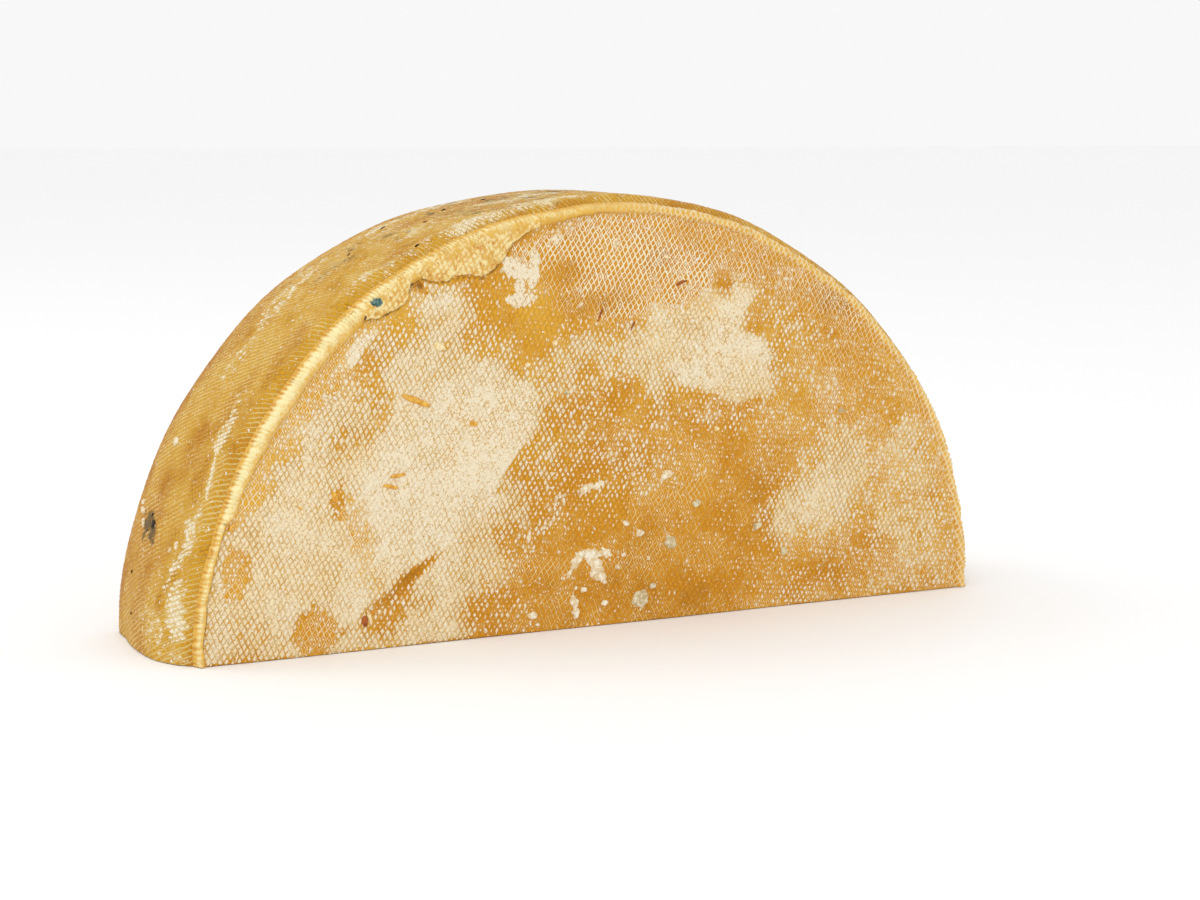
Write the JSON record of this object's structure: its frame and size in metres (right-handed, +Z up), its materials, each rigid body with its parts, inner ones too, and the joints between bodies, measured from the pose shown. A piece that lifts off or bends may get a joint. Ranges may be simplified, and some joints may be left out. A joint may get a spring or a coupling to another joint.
{
  "type": "raclette half wheel",
  "caption": "Half wheel of washed-rind raclette cheese with a cloth-pressed rind, an edge bead and a torn flap, standing on its cut face.",
  "frame": {"origin": "bottom centre of the object's box, on the cut face that it stands on", "axes": "+X along the cut, +Y along the wheel's axis from the shown round face to the back one, +Z up"},
  "size_m": [0.3264, 0.0714, 0.1488],
  "materials": {
    "rind": "washed orange-yellow rind with cream bloom and a pressed cloth pattern",
    "paste": "smooth pale yellow cut cheese with a slight sheen"
  },
  "bodies": {
    "root": {"half_wheel": "rind"}
  },
  "joints": []
}
